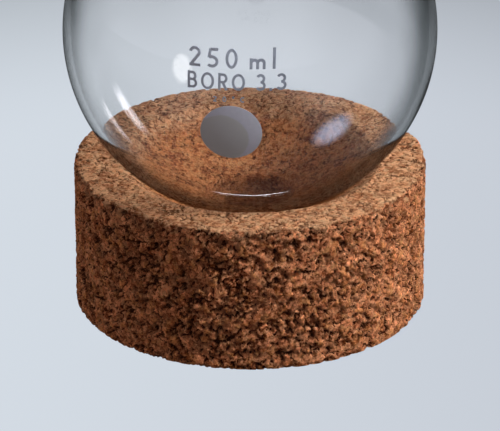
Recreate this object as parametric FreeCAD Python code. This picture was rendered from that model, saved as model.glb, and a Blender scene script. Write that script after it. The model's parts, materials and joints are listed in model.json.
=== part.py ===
"""A 250 ml round bottom flask resting in a ring of pressed cork.

Millimetres, +Z up. The origin is the centre of the cork ring's underside, so the set stands on z = 0.
The flask's axis is the Z axis, and its print faces -Y, with +X to a reader's right.
Each separate piece is written to parts/ as a STEP file that bears the piece's name.
"""

import FreeCAD, Part
import math
import os

# Flask: blown borosilicate glass, one piece
BULB_DIAMETER = 85.0
FLASK_HEIGHT = 144.0
WALL = 1.8
NECK_DIAMETER = 34.0
SHOULDER_RADIUS = 9.0  # the hollow sweep between bulb and neck
BEAD_DIAMETER = 39.0
BEAD_HEIGHT = 4.8
MOUTH_ROUNDING = 1.6  # the fire-polished inner edge of the mouth

# Ring: pressed cork, one piece
RING_DIAMETER = 81.0
RING_HEIGHT = 34.5
SEAT_DIAMETER = 60.0  # the wide end of the conical seat, at the ring's top
SEAT_SLOPE = 30.0  # degrees between the seat and the ring's top
HOLE_DIAMETER = 22.0
EDGE_ROUNDING = 0.9
SEAT_CLEARANCE = 0.15  # between glass and cork, all round the seat

# Print: white enamel fired onto the bulb
ENAMEL_THICKNESS = 0.1
PRINT_TURN = -5.7  # degrees about the flask's axis, from straight ahead
SPOT_DIAMETER = 13.6
SPOT_LATITUDE = -10.0  # degrees above the bulb's equator
SPACE_WIDTH = 0.56  # of the letter height, like every width in the glyphs

# Each line of print: text, letter height, stroke width, tracking, its left end across from the middle of
# the print, and the height of its foot above the bulb's equator
CAPACITY_LINE = ("250 ml", 4.4, 0.64, 0.31, -9.4, 7.9)
GLASS_TYPE_LINE = ("BORO 3.3", 3.9, 0.56, 0.2, -9.6, 3.0)
TEMPERATURE_LINE = ("20*C", 1.3, 0.26, 1.0, -3.9, 0.3)

# Worked out from the above
BULB_RADIUS = BULB_DIAMETER / 2
NECK_RADIUS = NECK_DIAMETER / 2
BORE_RADIUS = NECK_RADIUS - WALL
BEAD_RADIUS = BEAD_DIAMETER / 2
RING_RADIUS = RING_DIAMETER / 2
SEAT_RADIUS = SEAT_DIAMETER / 2
HOLE_RADIUS = HOLE_DIAMETER / 2
SLOPE = math.radians(SEAT_SLOPE)
SEAT_DEPTH = (SEAT_RADIUS - HOLE_RADIUS) * math.tan(SLOPE)
BULB_ABOVE_RING = (BULB_RADIUS + SEAT_CLEARANCE) / math.cos(SLOPE) - SEAT_RADIUS * math.tan(SLOPE)
BULB_CENTRE = RING_HEIGHT + BULB_ABOVE_RING
FLASK_TOP = BULB_CENTRE - BULB_RADIUS + FLASK_HEIGHT

AXIS = FreeCAD.Vector(0, 0, 1)
ORIGIN = FreeCAD.Vector(0, 0, 0)


def section(radius, height):
    """A point of a half section, in the plane that is swept about the Z axis."""
    return FreeCAD.Vector(radius, 0, height)


def turned(edges):
    """The solid that a closed half section sweeps about the Z axis."""
    face = Part.Face(Part.Wire(Part.__sortEdges__(edges)))
    return face.revolve(ORIGIN, AXIS, 360)


def line(start, end):
    return Part.makeLine(start, end)


def arc(start, centre, end):
    """The shorter arc about a centre."""
    out = (start + end) * 0.5 - centre
    middle = centre + out.normalize() * (start - centre).Length
    return Part.Arc(start, middle, end).toShape()


def wall_line(depth):
    """The bulb, shoulder and foot of the neck in half section, that far inside the glass's outer face.

    The shoulder's arc is tangent to the bulb and to the neck. Returns the arcs and the neck's foot.
    """
    bulb = BULB_RADIUS - depth
    shoulder = SHOULDER_RADIUS + depth
    neck = NECK_RADIUS - depth
    bulb_centre = section(0, BULB_CENTRE)
    centres_apart = bulb + shoulder
    rise = math.sqrt(centres_apart**2 - (neck + shoulder) ** 2)
    shoulder_centre = section(neck + shoulder, BULB_CENTRE + rise)
    tangent_point = bulb_centre + (shoulder_centre - bulb_centre) * (bulb / centres_apart)
    neck_foot = section(neck, shoulder_centre.z)
    pole = section(0, BULB_CENTRE - bulb)
    equator = section(bulb, BULB_CENTRE)
    edges = [
        arc(pole, bulb_centre, equator),
        arc(equator, bulb_centre, tangent_point),
        arc(tangent_point, shoulder_centre, neck_foot),
    ]
    return edges, neck_foot


def make_flask():
    """The glass: a hollow bulb and neck of even wall, with a rolled bead round the mouth."""
    outer, outer_foot = wall_line(0)
    inner, inner_foot = wall_line(WALL)
    roll = BEAD_HEIGHT / 2
    roll_centre = section(BEAD_RADIUS - roll, FLASK_TOP - roll)
    bead_side = section(BEAD_RADIUS, roll_centre.z)
    bead_drop = math.sqrt(roll**2 - (NECK_RADIUS - roll_centre.x) ** 2)
    bead_foot = section(NECK_RADIUS, roll_centre.z - bead_drop)
    bead_top = section(roll_centre.x, FLASK_TOP)
    mouth_top = section(BORE_RADIUS + MOUTH_ROUNDING, FLASK_TOP)
    mouth_centre = section(mouth_top.x, FLASK_TOP - MOUTH_ROUNDING)
    mouth_foot = section(BORE_RADIUS, mouth_centre.z)
    rim = [
        line(outer_foot, bead_foot),
        arc(bead_foot, roll_centre, bead_side),
        arc(bead_side, roll_centre, bead_top),
        line(bead_top, mouth_top),
        arc(mouth_top, mouth_centre, mouth_foot),
        line(mouth_foot, inner_foot),
    ]
    outer_pole = section(0, BULB_CENTRE - BULB_RADIUS)
    inner_pole = section(0, BULB_CENTRE - BULB_RADIUS + WALL)
    return turned(outer + rim + inner + [line(inner_pole, outer_pole)])


def make_ring():
    """The cork: a thick ring with worn outer edges, a conical seat for the bulb and a hole right through."""
    side = RING_RADIUS
    worn_side = side - EDGE_ROUNDING
    worn_top = RING_HEIGHT - EDGE_ROUNDING
    seat_edge = section(SEAT_RADIUS, RING_HEIGHT)
    seat_foot = section(HOLE_RADIUS, RING_HEIGHT - SEAT_DEPTH)
    hole_foot = section(HOLE_RADIUS, 0)
    edges = [
        line(hole_foot, section(worn_side, 0)),
        arc(section(worn_side, 0), section(worn_side, EDGE_ROUNDING), section(side, EDGE_ROUNDING)),
        line(section(side, EDGE_ROUNDING), section(side, worn_top)),
        arc(section(side, worn_top), section(worn_side, worn_top), section(worn_side, RING_HEIGHT)),
        line(section(worn_side, RING_HEIGHT), seat_edge),
        line(seat_edge, seat_foot),
        line(seat_foot, hole_foot),
    ]
    return turned(edges)


class Pen:
    """Draws strokes of one width as prisms through the front of the bulb.

    Positions are in letter heights, across from the glyph's middle and up from its foot. The prisms run
    along Y from the letter plane outwards, with the bulb's centre at the origin.
    """

    def __init__(self, across, foot, height, width):
        self.across = across
        self.foot = foot
        self.height = height
        self.half = width / 2

    def point(self, u, w):
        return FreeCAD.Vector(self.across + u * self.height, 0, self.foot + w * self.height)

    def prism(self, edges):
        return Part.Face(Part.Wire(edges)).extrude(FreeCAD.Vector(0, -BULB_DIAMETER, 0))

    def bar(self, u0, w0, u1, w1):
        """A straight stroke with square ends."""
        start = self.point(u0, w0)
        end = self.point(u1, w1)
        along = (end - start).normalize()
        aside = FreeCAD.Vector(-along.z, 0, along.x) * self.half
        corners = [start + aside, end + aside, end - aside, start - aside, start + aside]
        return self.prism(Part.makePolygon(corners).Edges)

    def bow(self, u, w, across, up, start=0, end=360):
        """A round stroke: part of an oval with those half sizes, counter-clockwise between two angles."""
        whole = end - start == 360
        ovals = [self.oval(u, w, across, up, side) for side in (self.half, -self.half)]
        if whole:
            outer, inner = (self.prism([oval.toShape()]) for oval, _ in ovals)
            return outer.cut(inner)
        arcs = [
            Part.ArcOfEllipse(oval, math.radians(start) - lead, math.radians(end) - lead)
            for oval, lead in ovals
        ]
        outer, inner = arcs
        edges = [
            outer.toShape(),
            line(outer.EndPoint, inner.EndPoint),
            inner.toShape(),
            line(inner.StartPoint, outer.StartPoint),
        ]
        return self.prism(Part.__sortEdges__(edges))

    def oval(self, u, w, across, up, grown):
        """An ellipse, and the angle from the across direction to its long axis."""
        centre = self.point(u, w)
        across_mm = across * self.height + grown
        up_mm = up * self.height + grown
        if across_mm > up_mm:
            wide_end = centre + FreeCAD.Vector(across_mm, 0, 0)
            return Part.Ellipse(wide_end, centre + FreeCAD.Vector(0, 0, up_mm), centre), 0
        tall_end = centre + FreeCAD.Vector(0, 0, up_mm)
        return Part.Ellipse(tall_end, centre - FreeCAD.Vector(across_mm, 0, 0), centre), math.pi / 2


def two(pen):
    return [
        pen.bow(0, 0.7, 0.22, 0.21, -38, 172),
        pen.bar(0.19, 0.6, -0.2, 0.09),
        pen.bar(-0.27, 0.09, 0.29, 0.09),
    ]


def three(pen):
    return [pen.bow(0, 0.71, 0.19, 0.2, -90, 150), pen.bow(0, 0.3, 0.22, 0.21, -150, 90)]


def five(pen):
    return [
        pen.bar(-0.12, 0.91, 0.26, 0.91),
        pen.bar(-0.13, 0.93, -0.21, 0.5),
        pen.bow(-0.05, 0.32, 0.25, 0.23, -135, 128),
    ]


def zero(pen):
    return [pen.bow(0, 0.5, 0.23, 0.41)]


def capital_b(pen):
    return [
        pen.bar(-0.2, 0, -0.2, 1),
        pen.bar(-0.2, 0.915, 0, 0.915),
        pen.bow(0, 0.715, 0.17, 0.2, -90, 90),
        pen.bar(-0.2, 0.515, 0.02, 0.515),
        pen.bow(0.02, 0.3, 0.19, 0.215, -90, 90),
        pen.bar(-0.2, 0.085, 0.02, 0.085),
    ]


def capital_c(pen):
    return [pen.bow(0.05, 0.5, 0.32, 0.4, 50, 310)]


def capital_o(pen):
    return [pen.bow(0, 0.5, 0.3, 0.415)]


def capital_r(pen):
    return [
        pen.bar(-0.2, 0, -0.2, 1),
        pen.bar(-0.2, 0.915, 0, 0.915),
        pen.bow(0, 0.7, 0.19, 0.215, -90, 90),
        pen.bar(-0.2, 0.485, 0, 0.485),
        pen.bar(-0.02, 0.5, 0.2, 0.02),
    ]


def small_m(pen):
    stems = [pen.bar(-0.32, 0, -0.32, 0.54), pen.bar(0, 0, 0, 0.3), pen.bar(0.32, 0, 0.32, 0.3)]
    arches = [pen.bow(side, 0.3, 0.16, 0.15, 0, 180) for side in (-0.16, 0.16)]
    return stems + arches


def small_l(pen):
    return [pen.bar(0, 0, 0, 1.03)]


def degree(pen):
    return [pen.bow(0, 0.85, 0.12, 0.12)]


def point(pen):
    return [pen.bar(0, 0, 0, 0.17)]


# Each character's strokes and width
GLYPHS = {
    "2": (two, 0.62),
    "3": (three, 0.56),
    "5": (five, 0.6),
    "0": (zero, 0.64),
    "B": (capital_b, 0.56),
    "C": (capital_c, 0.74),
    "O": (capital_o, 0.78),
    "R": (capital_r, 0.56),
    "m": (small_m, 0.82),
    "l": (small_l, 0.18),
    "*": (degree, 0.34),
    ".": (point, 0.18),
}


def enamel_shell():
    """The thin layer on the bulb that all enamel is cut from, with the bulb's centre at the origin."""
    return Part.makeSphere(BULB_RADIUS + ENAMEL_THICKNESS).cut(Part.makeSphere(BULB_RADIUS))


def on_bulb_front(shape):
    """Turns enamel made round the origin to where the flask carries it."""
    placed = shape.copy()
    placed.rotate(ORIGIN, AXIS, PRINT_TURN)
    placed.translate(FreeCAD.Vector(0, 0, BULB_CENTRE))
    return placed


def make_print(text, height, stroke, tracking, left, foot):
    """One line of enamel letters, each a solid of its own."""
    shell = enamel_shell()
    letters = []
    cursor = left
    for word in text.split():
        for letter in word:
            draw, width = GLYPHS[letter]
            first, *others = draw(Pen(cursor + width / 2 * height, foot, height, stroke))
            whole = first.multiFuse(others).removeSplitter() if others else first
            letters += shell.common(whole).Solids
            cursor += (width + tracking) * height
        cursor += (SPACE_WIDTH - tracking) * height
    return on_bulb_front(Part.makeCompound(letters))


def make_spot():
    """The round enamel patch for writing on."""
    tilt = math.radians(SPOT_LATITUDE)
    outwards = FreeCAD.Vector(0, -math.cos(tilt), math.sin(tilt))
    punch = Part.makeCylinder(SPOT_DIAMETER / 2, BULB_DIAMETER, ORIGIN, outwards)
    return on_bulb_front(enamel_shell().common(punch).Solids[0])


PIECES = {
    "flask_glass": make_flask(),
    "cork_ring": make_ring(),
    "capacity_print": make_print(*CAPACITY_LINE),
    "glass_type_print": make_print(*GLASS_TYPE_LINE),
    "temperature_print": make_print(*TEMPERATURE_LINE),
    "marking_spot": make_spot(),
}

os.makedirs("parts", exist_ok=True)
for name, shape in PIECES.items():
    shape.exportStep(f"parts/{name}.step")
    box = shape.BoundBox
    print(f"{name}: {len(shape.Solids)} solid(s), valid {shape.isValid()}, {shape.Volume:.1f} mm3")
    print(f"    x {box.XMin:.2f} to {box.XMax:.2f}, z {box.ZMin:.2f} to {box.ZMax:.2f}")
print(f"bulb centre at z = {BULB_CENTRE:.3f}, bore radius {BORE_RADIUS:.2f}, top at z = {FLASK_TOP:.3f}")
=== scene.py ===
"""A round bottom flask resting in its pressed cork ring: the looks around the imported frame."""
import json
import math

import bmesh
import bpy
import numpy as np
from mathutils import Matrix, Vector, noise


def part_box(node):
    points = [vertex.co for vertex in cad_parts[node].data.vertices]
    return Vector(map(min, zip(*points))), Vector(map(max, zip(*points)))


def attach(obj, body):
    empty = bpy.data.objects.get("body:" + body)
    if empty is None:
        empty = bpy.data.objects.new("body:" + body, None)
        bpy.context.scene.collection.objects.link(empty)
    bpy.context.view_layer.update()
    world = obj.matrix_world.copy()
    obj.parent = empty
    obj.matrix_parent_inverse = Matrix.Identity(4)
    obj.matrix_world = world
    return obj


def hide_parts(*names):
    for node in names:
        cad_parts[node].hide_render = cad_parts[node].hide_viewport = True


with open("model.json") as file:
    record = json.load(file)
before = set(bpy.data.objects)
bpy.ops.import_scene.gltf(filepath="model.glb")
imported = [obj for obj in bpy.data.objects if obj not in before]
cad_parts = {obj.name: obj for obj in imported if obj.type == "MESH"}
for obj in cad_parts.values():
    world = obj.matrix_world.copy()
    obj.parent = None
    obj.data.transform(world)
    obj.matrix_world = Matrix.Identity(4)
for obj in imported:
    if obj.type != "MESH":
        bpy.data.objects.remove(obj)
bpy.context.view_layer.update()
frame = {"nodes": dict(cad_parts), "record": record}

MM = 0.001

# The flask: the frame's box and mounts give its outline, and its own dimensions the rest.
GLASS_LOW, GLASS_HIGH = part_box("flask_glass")
MOUNTS = {mount["name"]: mount["dims"] for mount in frame["record"]["mounts"]}
BULB_RADIUS = GLASS_HIGH.x
BULB_CENTRE = Vector((0, 0, GLASS_LOW.z + BULB_RADIUS))
NECK_RADIUS = MOUNTS["neck_clamp_zone"]["r_mm"] * MM
BORE_RADIUS = MOUNTS["neck_bore"]["r_mm"] * MM
WALL = NECK_RADIUS - BORE_RADIUS
SHOULDER_RADIUS = 9.0 * MM
BEAD_RADIUS = 19.5 * MM
BEAD_ROLL = 2.4 * MM
MOUTH_ROUNDING = 1.6 * MM
STRAIGHT_SPACING = 2.4 * MM
GLASS_SEGMENTS = 300
WAVINESS = 0.035 * MM  # the most that the blown bulb's inside departs from round
WAVE_SIZE = 14 * MM

# The glass's material. Facing is 0 where the surface is seen square on, and 1 where it is seen edge on.
GLASS_IOR = 1.473
CLEAR_TINT = (1.0, 1.0, 1.0)
# Painted shade: the dark tint towards the glass's outline stands in for the dark surroundings seen through it
# there.
EDGE_PAINTED_SHADE = (0.17, 0.185, 0.18)
EDGE_SPAN = (0.44, 0.82)  # the facing at which the edge's painted shade begins, and at which it is full
EDGE_LEAN = 0.08  # how much sooner it begins at the reader's right
EDGE_RISE = 0.22  # how much later it begins at the bulb's foot
SHADOW_SPAN = (0.2, 0.9)  # the facing at which a lamp's light begins to be held back, and at which none passes
SHADOW_PASS = 0.94  # the share of it that passes square on

# The cork ring: the frame's box, and its seat's and edges' own dimensions.
RING_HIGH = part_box("cork_ring")[1]
RING_RADIUS = RING_HIGH.x
RING_HEIGHT = RING_HIGH.z
SEAT_RADIUS = 30.0 * MM
HOLE_RADIUS = 11.0 * MM
SEAT_SLOPE = math.radians(30)
EDGE_ROUNDING = 0.9 * MM
RING_SEGMENTS = 576

# The cork's make-up, in millimetres. Granules and chips have flat faces: TILT is how steep the faces are, and
# STEP is how far back the deepest one stands.
GRANULE_SIZE, GRANULE_TILT, GRANULE_STEP = 3.4, 0.38, 0.25
CHIP_SIZE, CHIP_TILT, CHIP_STEP = 0.85, 0.6, 0.16
CRUMBLE_SIZE, CRUMBLE_DEPTH, CRUMBLE_FROM = 1.4, 2.2, 0.48  # torn out where its noise passes CRUMBLE_FROM
WANDER_SIZE, WANDER_REACH = 1.1, 1.3  # bends the grains' outlines
PATCH_SIZE, PATCH_ROUGHNESS = 4.0, (0.25, 1.3)  # torn patches between smoother ones
HOLLOW_SIZE, SEAM_SIZE, CLUSTER_SIZE = 0.9, 2.3, 5.0  # the three patterns whose sum opens the gaps
GAP_SPAN = (0.83, 0.9)  # the sum at which a gap begins, and at which it is full
GAP_DEPTH = 0.9
LEAST_DEPTH = 0.12
SANDED_OFF = 0.88  # the share of the relief that sanding takes away
CHIPPING = 7.0  # how raggedly the sanded top ends at the ring's edge

# The cork's colours: the darkest and the palest of each face, and the factors of the reddest and greyest chip.
SIDE_TONES = (0.2, 0.055, 0.02), (0.93, 0.4, 0.195)
TOP_TONES = (0.28, 0.102, 0.042), (0.77, 0.425, 0.228)
# The seat's own more orange tones, painted a little darker than the top's as shade in the recess.
SEAT_TONES_AND_SHADE = (0.25, 0.07, 0.022), (0.74, 0.32, 0.125)
CHIP_HUES = (1.05, 0.95, 0.9), (0.93, 1.03, 1.08)
# The gaps' colour: their own dark brown, deepened with painted shade.
GAP_DARK_AND_SHADE_COLOUR = (0.05, 0.012, 0.006)

# The enamel's colours.
PRINT_COLOUR = (0.52, 0.6, 0.76)
SPOT_TONES = (0.56, 0.61, 0.75), (0.66, 0.7, 0.85)
SPOT_PATCH_COLOUR = (0.53, 0.57, 0.6)

# The camera's place.
CAMERA_ELEVATION = math.radians(25)
CAMERA_DISTANCE = 1.0
AIM_BELOW_BULB = 42.3 * MM
LENS = 317.4

# The stage.
FLOOR_RADIUS = 1.5
FLOOR_DROP = 0.1 * MM
FLOOR_FALL = (0.1, 0.34)  # how far out the floor's glow begins to fall, and where it has fallen
FLOOR_PAINTED_SHADOW = (0.7, 0.9)  # of the ring's radius: painted shadow within the first, glowing from the second
FLOOR_UNSEEN = (0.035, -0.01)  # reflections see the floor behind the first y, and none of it before the second
FLOOR_FAR = (0.11, 0.12, 0.13)
FLOOR_LEFT = (0.655, 0.71, 0.775)
FLOOR_RIGHT = (0.565, 0.605, 0.67)
STUDIO_DIM = (0.12, 0.08, 0.062)
STUDIO_DARK = (0.05, 0.053, 0.056)
STUDIO_WALL = (0.8, 0.82, 0.88)


# --- Node recipes ----------------------------------------------------------------------------------------


class Recipe:
    """Adds nodes to a tree, shader or geometry, and hands back their output sockets."""

    def __init__(self, tree):
        self.tree = tree

    def node(self, kind, inputs=(), **settings):
        """A node with its settings and inputs. Each input is a name or number and a value or a socket."""
        made = self.tree.nodes.new(kind)
        for name, value in settings.items():
            setattr(made, name, value)
        for name, value in dict(inputs).items():
            if isinstance(value, bpy.types.NodeSocket):
                self.tree.links.new(value, made.inputs[name])
            else:
                made.inputs[name].default_value = value
        return made

    def math(self, operation, *values):
        return self.node("ShaderNodeMath", enumerate(values), operation=operation).outputs[0]

    def vector(self, operation, *values):
        return self.node("ShaderNodeVectorMath", enumerate(values), operation=operation).outputs[0]

    def length(self, vector):
        return self.node("ShaderNodeVectorMath", {0: vector}, operation="LENGTH").outputs["Value"]

    def scaled(self, vector, factor):
        return self.node("ShaderNodeVectorMath", {0: vector, "Scale": factor}, operation="SCALE").outputs[0]

    def step(self, value, low, high, to_low=0.0, to_high=1.0):
        """A smooth step from to_low at low to to_high at high."""
        inputs = {"Value": value, "From Min": low, "From Max": high, "To Min": to_low, "To Max": to_high}
        return self.node("ShaderNodeMapRange", inputs, interpolation_type="SMOOTHSTEP").outputs[0]

    def noise(self, spot, size, detail=2.0, roughness=0.5, output=0):
        """Noise whose largest lumps are about size across. Output 0 is a number, output 1 a colour."""
        inputs = {"Vector": spot, "Scale": 1 / size, "Detail": detail, "Roughness": roughness}
        return self.node("ShaderNodeTexNoise", inputs, noise_dimensions="3D").outputs[output]

    def cells(self, spot, size, feature="F1"):
        """The outputs of Voronoi cells about size across."""
        inputs = {"Vector": spot, "Scale": 1 / size}
        return self.node("ShaderNodeTexVoronoi", inputs, voronoi_dimensions="3D", feature=feature).outputs

    def parts(self, triple):
        """The three numbers of a vector or colour."""
        return self.node("ShaderNodeSeparateXYZ", {0: triple}).outputs

    def mix(self, factor, a, b, blend="MIX"):
        """Mixes two colours."""
        made = self.node("ShaderNodeMix", data_type="RGBA", blend_type=blend)
        for index, value in ((0, factor), (6, a), (7, b)):
            if isinstance(value, bpy.types.NodeSocket):
                self.tree.links.new(value, made.inputs[index])
            elif index == 0:
                made.inputs[index].default_value = value
            else:
                made.inputs[index].default_value = (*value, 1)
        return made.outputs[2]


def new_material(name, **sockets):
    """A material with one Principled shader. Returns the material, its recipe and the shader node."""
    material = bpy.data.materials.new(name)
    material.use_nodes = True
    shader = material.node_tree.nodes["Principled BSDF"]
    for socket, value in sockets.items():
        shader.inputs[socket.replace("_", " ")].default_value = value
    return material, Recipe(material.node_tree), shader


def give(obj, material):
    """The object gets this one material."""
    obj.data.materials.clear()
    obj.data.materials.append(material)


# --- Turned shapes -----------------------------------------------------------------------------------------


def arc(centre, radius, start, end, count):
    """Points (r, z) on an arc from start to end, angles in degrees from +r towards +z."""
    angles = np.radians(np.linspace(start, end, count))
    return [(centre[0] + radius * math.cos(a), centre[1] + radius * math.sin(a)) for a in angles]


def straight(start, end, spacing):
    """Points from start up to, but without, end."""
    length = math.hypot(end[0] - start[0], end[1] - start[1])
    count = max(1, round(length / spacing))
    return [
        (start[0] + (end[0] - start[0]) * k / count, start[1] + (end[1] - start[1]) * k / count)
        for k in range(count)
    ]


def turned_mesh(name, profile, segments, closed):
    """A mesh turned round Z from (r, z) points. A point with r 0 becomes a single vertex."""
    vertices = []
    rings = []
    for r, z in profile:
        if r < 1e-9:
            rings.append([len(vertices)] * segments)
            vertices.append((0, 0, z))
            continue
        rings.append([len(vertices) + k for k in range(segments)])
        vertices += [
            (r * math.cos(math.tau * k / segments), r * math.sin(math.tau * k / segments), z)
            for k in range(segments)
        ]
    faces = []
    pairs = list(zip(rings, rings[1:] + rings[:1] if closed else rings[1:]))
    for low, high in pairs:
        for k in range(segments):
            after = (k + 1) % segments
            corners = [low[k], low[after], high[after], high[k]]
            faces.append(tuple(dict.fromkeys(corners)))
    mesh = bpy.data.meshes.new(name)
    mesh.from_pydata(vertices, [], faces)
    mesh.shade_smooth()
    return mesh


def new_object(name, mesh):
    obj = bpy.data.objects.new(name, mesh)
    bpy.context.scene.collection.objects.link(obj)
    return obj


# --- The flask ----------------------------------------------------------------------------------------------


def bulb_to_neck(depth, count_bulb, count_fillet):
    """The outline from the bulb's pole up to the straight neck, this deep inside the glass."""
    bulb = BULB_RADIUS - depth
    fillet = SHOULDER_RADIUS + depth
    fillet_r = NECK_RADIUS + SHOULDER_RADIUS
    rise = math.sqrt((BULB_RADIUS + SHOULDER_RADIUS) ** 2 - fillet_r**2)
    tangent = math.degrees(math.atan2(rise, fillet_r))
    centre = (0, BULB_CENTRE.z)
    points = arc(centre, bulb, -90, tangent, count_bulb)
    points += arc((fillet_r, BULB_CENTRE.z + rise), fillet, 180 + tangent, 180, count_fillet)[1:]
    points[0] = (0, points[0][1])
    return points


def flask_profile():
    """The closed outline of the glass: up the outside, over the mouth and down the inside."""
    top = GLASS_HIGH.z
    outside = bulb_to_neck(0, 120, 16)
    bead_centre = (BEAD_RADIUS - BEAD_ROLL, top - BEAD_ROLL)
    neck_end = (NECK_RADIUS, top - 2 * BEAD_ROLL)
    outside += straight(outside[-1], neck_end, STRAIGHT_SPACING)[1:]
    outside += arc(bead_centre, BEAD_ROLL, -88, 90, 20)
    mouth = arc((BORE_RADIUS + MOUTH_ROUNDING, top - MOUTH_ROUNDING), MOUTH_ROUNDING, 90, 180, 10)
    inside = bulb_to_neck(WALL, 110, 14)
    inside += straight(inside[-1], mouth[-1], STRAIGHT_SPACING)[1:]
    return outside + mouth + inside[::-1]


def make_flask():
    """The blown glass as one closed shell, with the slight unevenness of blown glass on its inside."""
    mesh = turned_mesh("blown_flask", flask_profile(), GLASS_SEGMENTS, closed=False)
    for vertex in mesh.vertices:
        spot = vertex.co
        from_centre = spot - BULB_CENTRE
        inside = BULB_RADIUS - from_centre.length > 0.5 * WALL
        below_shoulder = spot.z < BULB_CENTRE.z + 0.8 * BULB_RADIUS
        if inside and below_shoulder:
            vertex.co = spot + from_centre.normalized() * WAVINESS * noise.noise(spot / WAVE_SIZE)
    mesh.update()
    return new_object("blown_flask", mesh)


def glass_material():
    """Clear glass with painted shade that darkens it towards its outline. The lamps' light passes it, and least
    at the outline.
    """
    material, recipe, shader = new_material(
        "clear_glass", Roughness=0.0, IOR=GLASS_IOR, Transmission_Weight=1.0
    )
    x, _, z = recipe.parts(recipe.node("ShaderNodeTexCoord").outputs["Object"])
    # Painted shade towards the outline, begun sooner at the reader's right and later at the bulb's foot.
    lean = recipe.math("MULTIPLY_ADD", x, EDGE_LEAN / BULB_RADIUS, EDGE_LEAN / 4)
    rise = recipe.math("MINIMUM", recipe.math("SUBTRACT", z, BULB_CENTRE.z), 0.0)
    lean = recipe.math("MULTIPLY_ADD", rise, EDGE_RISE / BULB_RADIUS, lean)
    facing = recipe.node("ShaderNodeLayerWeight", {"Blend": 0.5}).outputs["Facing"]
    edge = recipe.step(recipe.math("ADD", facing, lean), *EDGE_SPAN)
    recipe.tree.links.new(recipe.mix(edge, CLEAR_TINT, EDGE_PAINTED_SHADE), shader.inputs["Base Color"])
    passed = recipe.step(facing, *SHADOW_SPAN, SHADOW_PASS, 0.0)
    pane = recipe.node("ShaderNodeBsdfTransparent", {"Color": recipe.mix(passed, (0, 0, 0), (1, 1, 1))})
    is_shadow = recipe.node("ShaderNodeLightPath").outputs["Is Shadow Ray"]
    mix = recipe.node("ShaderNodeMixShader", {0: is_shadow, 1: shader.outputs[0], 2: pane.outputs[0]})
    surface = material.node_tree.nodes["Material Output"].inputs["Surface"]
    recipe.tree.links.new(mix.outputs[0], surface)
    return material


# --- The cork ring ------------------------------------------------------------------------------------------


def ring_profile():
    """The closed outline of the ring: the underside, the outside, the top, the seat and the hole."""
    seat_end = (HOLE_RADIUS, RING_HEIGHT - (SEAT_RADIUS - HOLE_RADIUS) * math.tan(SEAT_SLOPE))
    inner = RING_RADIUS - EDGE_ROUNDING
    upper = RING_HEIGHT - EDGE_ROUNDING
    points = straight((HOLE_RADIUS, 0), (inner, 0), STRAIGHT_SPACING)
    points += arc((inner, EDGE_ROUNDING), EDGE_ROUNDING, -90, 0, 5)
    points += straight((RING_RADIUS, EDGE_ROUNDING), (RING_RADIUS, upper), 0.44 * MM)[1:]
    points += arc((inner, upper), EDGE_ROUNDING, 0, 90, 5)
    points += straight((inner, RING_HEIGHT), (SEAT_RADIUS, RING_HEIGHT), 0.46 * MM)[1:]
    points += straight((SEAT_RADIUS, RING_HEIGHT), seat_end, 0.6 * MM)
    points += straight(seat_end, (HOLE_RADIUS, 0), 1.6 * MM)
    return points


def facets(recipe, spot, size):
    """Flat chips about size across, each tilted its own way: the height of its face, and a tone of its own."""
    cells = recipe.cells(spot, size)
    place = recipe.vector("SUBTRACT", spot, cells["Position"])
    tilt = recipe.vector("SUBTRACT", cells["Color"], (0.5, 0.5, 0.5))
    height = recipe.node("ShaderNodeVectorMath", {0: place, 1: tilt}, operation="DOT_PRODUCT").outputs["Value"]
    return height, recipe.parts(cells["Color"])


def cork_relief(recipe, spot, sanded):
    """Depth below the turned surface in millimetres, at a spot in millimetres, and how much of it is a gap."""
    wander = recipe.noise(spot, WANDER_SIZE, detail=3.0, output=1)
    wander = recipe.vector("SUBTRACT", wander, (0.5, 0.5, 0.5))
    bent = recipe.vector("ADD", spot, recipe.scaled(wander, WANDER_REACH))
    granule, granule_tone = facets(recipe, bent, GRANULE_SIZE)
    chip, chip_tone = facets(recipe, bent, CHIP_SIZE)
    crumble = recipe.noise(bent, CRUMBLE_SIZE, detail=6.0, roughness=0.78)
    cluster = recipe.noise(spot, CLUSTER_SIZE, detail=2.0)
    to_edge = recipe.cells(bent, SEAM_SIZE, feature="DISTANCE_TO_EDGE")["Distance"]
    seam = recipe.step(to_edge, 0.0, 0.16, 0.17, 0.0)
    hollow = recipe.noise(bent, HOLLOW_SIZE, detail=3.0, roughness=0.65)
    open_up = recipe.math("ADD", recipe.math("MULTIPLY_ADD", cluster, 0.42, hollow), seam)
    gap = recipe.step(recipe.math("MULTIPLY_ADD", sanded, -0.04, open_up), *GAP_SPAN)
    torn = recipe.math("MAXIMUM", recipe.math("SUBTRACT", crumble, CRUMBLE_FROM), 0.0)
    rough = recipe.step(recipe.noise(spot, PATCH_SIZE, detail=3.0), 0.4, 0.6, *PATCH_ROUGHNESS)
    depth = recipe.math("MULTIPLY_ADD", recipe.math("MULTIPLY", torn, rough), CRUMBLE_DEPTH, LEAST_DEPTH)
    depth = recipe.math("MULTIPLY_ADD", granule, GRANULE_TILT, depth)
    depth = recipe.math("MULTIPLY_ADD", recipe.math("MULTIPLY", chip, rough), CHIP_TILT, depth)
    depth = recipe.math("MULTIPLY_ADD", granule_tone[0], GRANULE_STEP, depth)
    depth = recipe.math("MULTIPLY_ADD", chip_tone[1], CHIP_STEP, depth)
    depth = recipe.math("MULTIPLY", depth, recipe.math("MULTIPLY_ADD", sanded, -SANDED_OFF, 1.0))
    gap_depth = recipe.math("MULTIPLY_ADD", sanded, -0.55, GAP_DEPTH)
    depth = recipe.math("MULTIPLY_ADD", gap, gap_depth, depth)
    return recipe.math("MAXIMUM", depth, 0.0), gap


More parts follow.
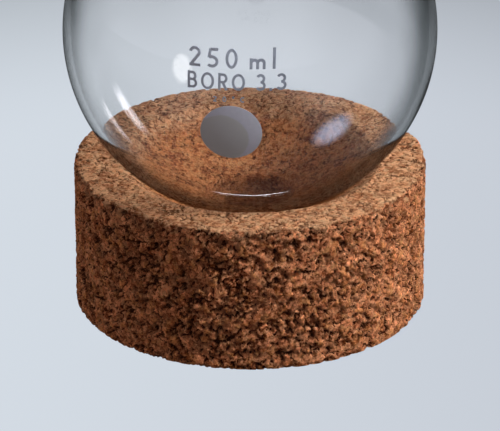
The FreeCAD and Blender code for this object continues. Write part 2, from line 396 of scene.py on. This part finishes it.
def sanded_share(recipe, spot):
    """1 on the ring's top, seat and underside, 0 on its rough side, with a chipped edge between."""
    x, y, _ = recipe.parts(spot)
    radius = recipe.math("SQRT", recipe.math("ADD", recipe.math("POWER", x, 2.0), recipe.math("POWER", y, 2.0)))
    chipped = recipe.math("MULTIPLY_ADD", recipe.noise(spot, 2.2, detail=4.0, roughness=0.7), CHIPPING, radius)
    edge = RING_RADIUS / MM + 0.5 * CHIPPING
    return recipe.step(chipped, edge - 0.8, edge, 1.0, 0.0)


def crumble_mesh(obj):
    """Presses the cork's relief into the mesh, and keeps each point's place before that as attribute rest."""
    tree = bpy.data.node_groups.new("cork_relief", "GeometryNodeTree")
    tree.interface.new_socket("Geometry", in_out="INPUT", socket_type="NodeSocketGeometry")
    tree.interface.new_socket("Geometry", in_out="OUTPUT", socket_type="NodeSocketGeometry")
    recipe = Recipe(tree)
    start = recipe.node("NodeGroupInput")
    spot = recipe.scaled(recipe.node("GeometryNodeInputPosition").outputs[0], 1 / MM)
    keep = recipe.node(
        "GeometryNodeStoreNamedAttribute",
        {"Geometry": start.outputs[0], "Name": "rest", "Value": spot},
        data_type="FLOAT_VECTOR",
        domain="POINT",
    )
    depth, _ = cork_relief(recipe, spot, sanded_share(recipe, spot))
    outward = recipe.node("GeometryNodeInputNormal").outputs[0]
    offset = recipe.scaled(outward, recipe.math("MULTIPLY", depth, -MM))
    moved = recipe.node("GeometryNodeSetPosition", {"Geometry": keep.outputs[0], "Offset": offset})
    recipe.node("NodeGroupOutput", {0: moved.outputs[0]})
    obj.modifiers.new("relief", "NODES").node_group = tree
    shaped = bpy.data.meshes.new_from_object(obj.evaluated_get(bpy.context.evaluated_depsgraph_get()))
    obj.modifiers.clear()
    obj.data = shaped


def cork_material():
    """Pressed cork: grains from dark red-brown to tan, dark gaps deepened with painted shade, and a sanded top
    and seat in other tones, the seat's painted a little darker as shade in its recess.
    """
    material, recipe, shader = new_material("pressed_cork", Roughness=0.92, Specular_IOR_Level=0.03)
    spot = recipe.node("ShaderNodeAttribute", attribute_name="rest").outputs["Vector"]
    sanded = sanded_share(recipe, spot)
    depth, gap = cork_relief(recipe, spot, sanded)
    granule = recipe.parts(recipe.cells(spot, 2.8)["Color"])[0]
    chip = recipe.parts(recipe.cells(spot, 0.9)["Color"])[1]
    grit = recipe.parts(recipe.cells(spot, 0.4)["Color"])[0]
    speck = recipe.noise(spot, 0.7, detail=5.0, roughness=0.8)
    tone = recipe.math("MULTIPLY", granule, 0.28)
    tone = recipe.math("MULTIPLY_ADD", chip, 0.4, tone)
    tone = recipe.math("MULTIPLY_ADD", speck, 1.5, tone)
    tone = recipe.math("MULTIPLY_ADD", grit, 0.3, tone)
    tone = recipe.step(tone, 0.8, 1.6)
    in_seat = recipe.step(recipe.parts(spot)[2], RING_HEIGHT / MM - 1.0, RING_HEIGHT / MM - 3.5)
    # The seat is painted a little darker than the top, as shade in the recess.
    flat = recipe.mix(in_seat, recipe.mix(tone, *TOP_TONES), recipe.mix(tone, *SEAT_TONES_AND_SHADE))
    colour = recipe.mix(sanded, recipe.mix(tone, *SIDE_TONES), flat)
    hue = recipe.parts(recipe.cells(spot, 1.2)["Color"])[2]
    colour = recipe.mix(1.0, colour, recipe.mix(hue, *CHIP_HUES), "MULTIPLY")
    # The gaps' own dark plus painted shade in their depths, less on the sanded faces.
    gap_dark_and_shade = recipe.math("MULTIPLY", gap, recipe.math("MULTIPLY_ADD", sanded, -0.25, 0.9))
    colour = recipe.mix(gap_dark_and_shade, colour, GAP_DARK_AND_SHADE_COLOUR)
    height = recipe.math("MULTIPLY", depth, -1.0)
    bump = recipe.node("ShaderNodeBump", {"Height": height, "Strength": 1.0, "Distance": MM})
    recipe.tree.links.new(colour, shader.inputs["Base Color"])
    recipe.tree.links.new(bump.outputs[0], shader.inputs["Normal"])
    return material


def make_ring():
    obj = new_object("pressed_ring", turned_mesh("pressed_ring", ring_profile(), RING_SEGMENTS, closed=True))
    crumble_mesh(obj)
    give(obj, cork_material())
    return obj


# --- The enamel ---------------------------------------------------------------------------------------------


def enamel_material(name, colour):
    """Fired enamel: dull, faintly uneven, with painted shade that darkens it towards the reader's right, where
    more light falls on it.
    """
    material, recipe, shader = new_material(name, Roughness=0.6, Specular_IOR_Level=0.2)
    spot = recipe.node("ShaderNodeTexCoord").outputs["Object"]
    cloud = recipe.noise(spot, 0.6 * MM, detail=3.0)
    shade = recipe.mix(cloud, tuple(0.85 * c for c in colour), colour)
    # Painted shade: darker towards the reader's right, to offset the stronger light there.
    darker = recipe.step(recipe.parts(spot)[0], -12 * MM, 11 * MM, 0.0, 0.55)
    shade = recipe.mix(darker, shade, (0, 0, 0))
    recipe.tree.links.new(shade, shader.inputs["Base Color"])
    return material


def marking_material():
    """The marking spot: a matt bluish grey enamel with a darker round patch off to its lower left."""
    material, recipe, shader = new_material("marking_enamel", Roughness=0.7)
    low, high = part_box("marking_spot")
    spot = recipe.node("ShaderNodeTexCoord").outputs["Object"]
    patch = (low + high) / 2 + Vector((-2.2 * MM, 0, -1.6 * MM))
    away = recipe.vector("MULTIPLY", recipe.vector("SUBTRACT", spot, tuple(patch)), (1, 0, 1))
    away = recipe.math("MULTIPLY_ADD", recipe.noise(spot, 3 * MM), 0.6 * MM, recipe.length(away))
    in_patch = recipe.step(away, 6.0 * MM, 6.5 * MM, 1.0, 0.0)
    cloud = recipe.noise(spot, 0.9 * MM, detail=4.0)
    shade = recipe.mix(cloud, *SPOT_TONES)
    shade = recipe.mix(recipe.math("MULTIPLY", in_patch, 0.8), shade, SPOT_PATCH_COLOUR)
    recipe.tree.links.new(shade, shader.inputs["Base Color"])
    return material


# --- The studio ---------------------------------------------------------------------------------------------


def make_camera():
    toward = Vector((0, -math.cos(CAMERA_ELEVATION), math.sin(CAMERA_ELEVATION)))
    screen_up = Vector((0, math.sin(CAMERA_ELEVATION), math.cos(CAMERA_ELEVATION)))
    aim = BULB_CENTRE - AIM_BELOW_BULB * screen_up
    camera = new_object("camera", bpy.data.cameras.new("camera"))
    camera.data.lens = LENS
    camera.location = aim + CAMERA_DISTANCE * toward
    camera.rotation_euler = toward.to_track_quat("Z", "Y").to_euler()
    bpy.context.scene.camera = camera


def make_floor():
    """A pale floor that glows like a light table, brightest round the ring and a touch brighter on its left.

    It carries a painted shadow under the ring and down its hole. Reflections see its glow behind the ring only.
    """
    floor = new_object("floor", disc_mesh("floor", FLOOR_RADIUS, (0, 0, -FLOOR_DROP)))
    material, recipe, shader = new_material("floor", Base_Color=(0, 0, 0, 1), Roughness=1.0)
    shader.inputs["Specular IOR Level"].default_value = 0
    spot = recipe.node("ShaderNodeTexCoord").outputs["Object"]
    x, y, _ = recipe.parts(spot)
    distance = recipe.length(spot)
    glow = recipe.mix(recipe.step(x, -0.08, 0.1), FLOOR_LEFT, FLOOR_RIGHT)
    glow = recipe.mix(recipe.step(distance, *FLOOR_FALL), glow, FLOOR_FAR)
    # Painted shadow: the floor is dark under the ring and down its hole.
    outside = recipe.step(distance, *(share * RING_RADIUS for share in FLOOR_PAINTED_SHADOW))
    glow = recipe.mix(outside, STUDIO_DARK, glow)
    mirrored = recipe.math("MINIMUM", recipe.node("ShaderNodeLightPath").outputs["Glossy Depth"], 1.0)
    hidden = recipe.math("MULTIPLY", mirrored, recipe.step(y, *FLOOR_UNSEEN))
    glow = recipe.mix(hidden, glow, STUDIO_DARK)
    recipe.tree.links.new(glow, shader.inputs["Emission Color"])
    shader.inputs["Emission Strength"].default_value = 1.0
    give(floor, material)
    floor.visible_glossy = False
    floor.visible_diffuse = False


def disc_mesh(name, radius, centre):
    mesh = bpy.data.meshes.new(name)
    shape = bmesh.new()
    bmesh.ops.create_circle(shape, cap_ends=True, segments=128, radius=radius)
    bmesh.ops.translate(shape, verts=shape.verts, vec=centre)
    shape.to_mesh(mesh)
    shape.free()
    return mesh


def make_softbox(name, direction, width, height, radiance, colour, up=(0, 0, 1), edge=0.3, shine=1.0, far=1.2):
    """A glowing panel with soft edges, far metres off in this direction from the bulb, sized in degrees.

    edge is the share of its radius over which it fades. Reflections see it at shine times its strength, and
    reflections of reflections not at all.
    """
    direction = Vector(direction).normalized()
    across = Vector(up).cross(direction).normalized()
    along = direction.cross(across)
    panel = new_object(name, disc_mesh(name, 1.0, (0, 0, 0)))
    half_width = far * math.tan(math.radians(width / 2))
    half_height = far * math.tan(math.radians(height / 2))
    turn = Matrix((across, along, direction)).transposed().to_4x4()
    size = Matrix.Diagonal((half_width, half_height, 1, 1))
    panel.matrix_world = Matrix.Translation(BULB_CENTRE + far * direction) @ turn @ size
    material, recipe, shader = new_material(name, Base_Color=(0, 0, 0, 1), Roughness=1.0)
    shader.inputs["Specular IOR Level"].default_value = 0
    spot = recipe.node("ShaderNodeTexCoord").outputs["Object"]
    glow = recipe.step(recipe.length(spot), 1 - edge, 1.0, radiance, 0.0)
    mirrored = recipe.node("ShaderNodeLightPath").outputs["Glossy Depth"]
    once = recipe.math("MULTIPLY_ADD", recipe.math("MINIMUM", mirrored, 1.0), shine - 1, 1.0)
    twice = recipe.math("GREATER_THAN", mirrored, 1.5)
    glow = recipe.math("MULTIPLY", glow, recipe.math("MULTIPLY", once, recipe.math("SUBTRACT", 1.0, twice)))
    shader.inputs["Emission Color"].default_value = (*colour, 1)
    recipe.tree.links.new(glow, shader.inputs["Emission Strength"])
    give(panel, material)
    panel.visible_camera = False
    panel.visible_glossy = panel.visible_transmission = shine > 0


def make_world():
    """A dim studio. Reflections see a paler wall in front and on the left, above the floor."""
    world = bpy.data.worlds.new("world")
    bpy.context.scene.world = world
    world.use_nodes = True
    recipe = Recipe(world.node_tree)
    x, y, z = recipe.parts(recipe.node("ShaderNodeTexCoord").outputs["Generated"])
    above_floor, below_ceiling = recipe.step(z, -0.4, -0.1), recipe.step(z, 0.95, 0.7)
    in_front, left_of_key = recipe.step(y, 0.45, -0.15), recipe.step(x, 1.0, 0.4)
    wall = recipe.math("MULTIPLY", above_floor, in_front)
    wall = recipe.math("MULTIPLY", wall, left_of_key)
    wall = recipe.math("MULTIPLY", wall, below_ceiling)
    path = recipe.node("ShaderNodeLightPath").outputs
    direct = recipe.math("MAXIMUM", path["Is Camera Ray"], path["Is Diffuse Ray"])
    glow = recipe.mix(direct, recipe.mix(wall, STUDIO_DARK, STUDIO_WALL), STUDIO_DIM)
    recipe.tree.links.new(glow, world.node_tree.nodes["Background"].inputs[0])


flask = make_flask()
give(flask, glass_material())
flask.visible_diffuse = False
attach(flask, "flask")
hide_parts("flask_glass")

ring = make_ring()
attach(ring, "ring")
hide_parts("cork_ring")

white = enamel_material("white_enamel", PRINT_COLOUR)
for name in ("capacity_print", "glass_type_print", "temperature_print"):
    give(frame["nodes"][name], white)
give(frame["nodes"]["marking_spot"], marking_material())

make_camera()
make_floor()
make_world()
make_softbox("key", (0.717, -0.36, 0.6), 15, 22, 47, (1, 0.98, 0.96), up=(-0.1, 0.8, 0.59), shine=0.1, far=0.4)
make_softbox("fill", (-0.632, 0.42, 0.659), 24, 26, 2.3, (0.62, 0.74, 1), edge=0.7, shine=2.2)
make_softbox("strip", (0.754, 0.58, 0.308), 9, 25, 8, (1, 0.95, 1), up=(-0.207, 0.124, 0.306), edge=0.6)
make_softbox("low_strip", (0.5, 0.865, -0.01), 8, 16, 4, (1, 0.96, 1), up=(-0.153, 0.103, 0.2), edge=0.6)
make_softbox("back", (0, 0.985, 0.172), 16, 5, 14, (1, 0.98, 0.96), edge=0.4)
make_softbox("right", (0.93, -0.15, 0.33), 30, 30, 8.5, (1, 0.98, 0.95), edge=0.5, shine=0.0, far=0.4)
make_softbox("left", (-0.99, -0.08, 0.1), 30, 30, 3.2, (1, 0.9, 0.9), edge=0.5, shine=0.0)

bpy.context.scene.view_settings.view_transform = "Standard"
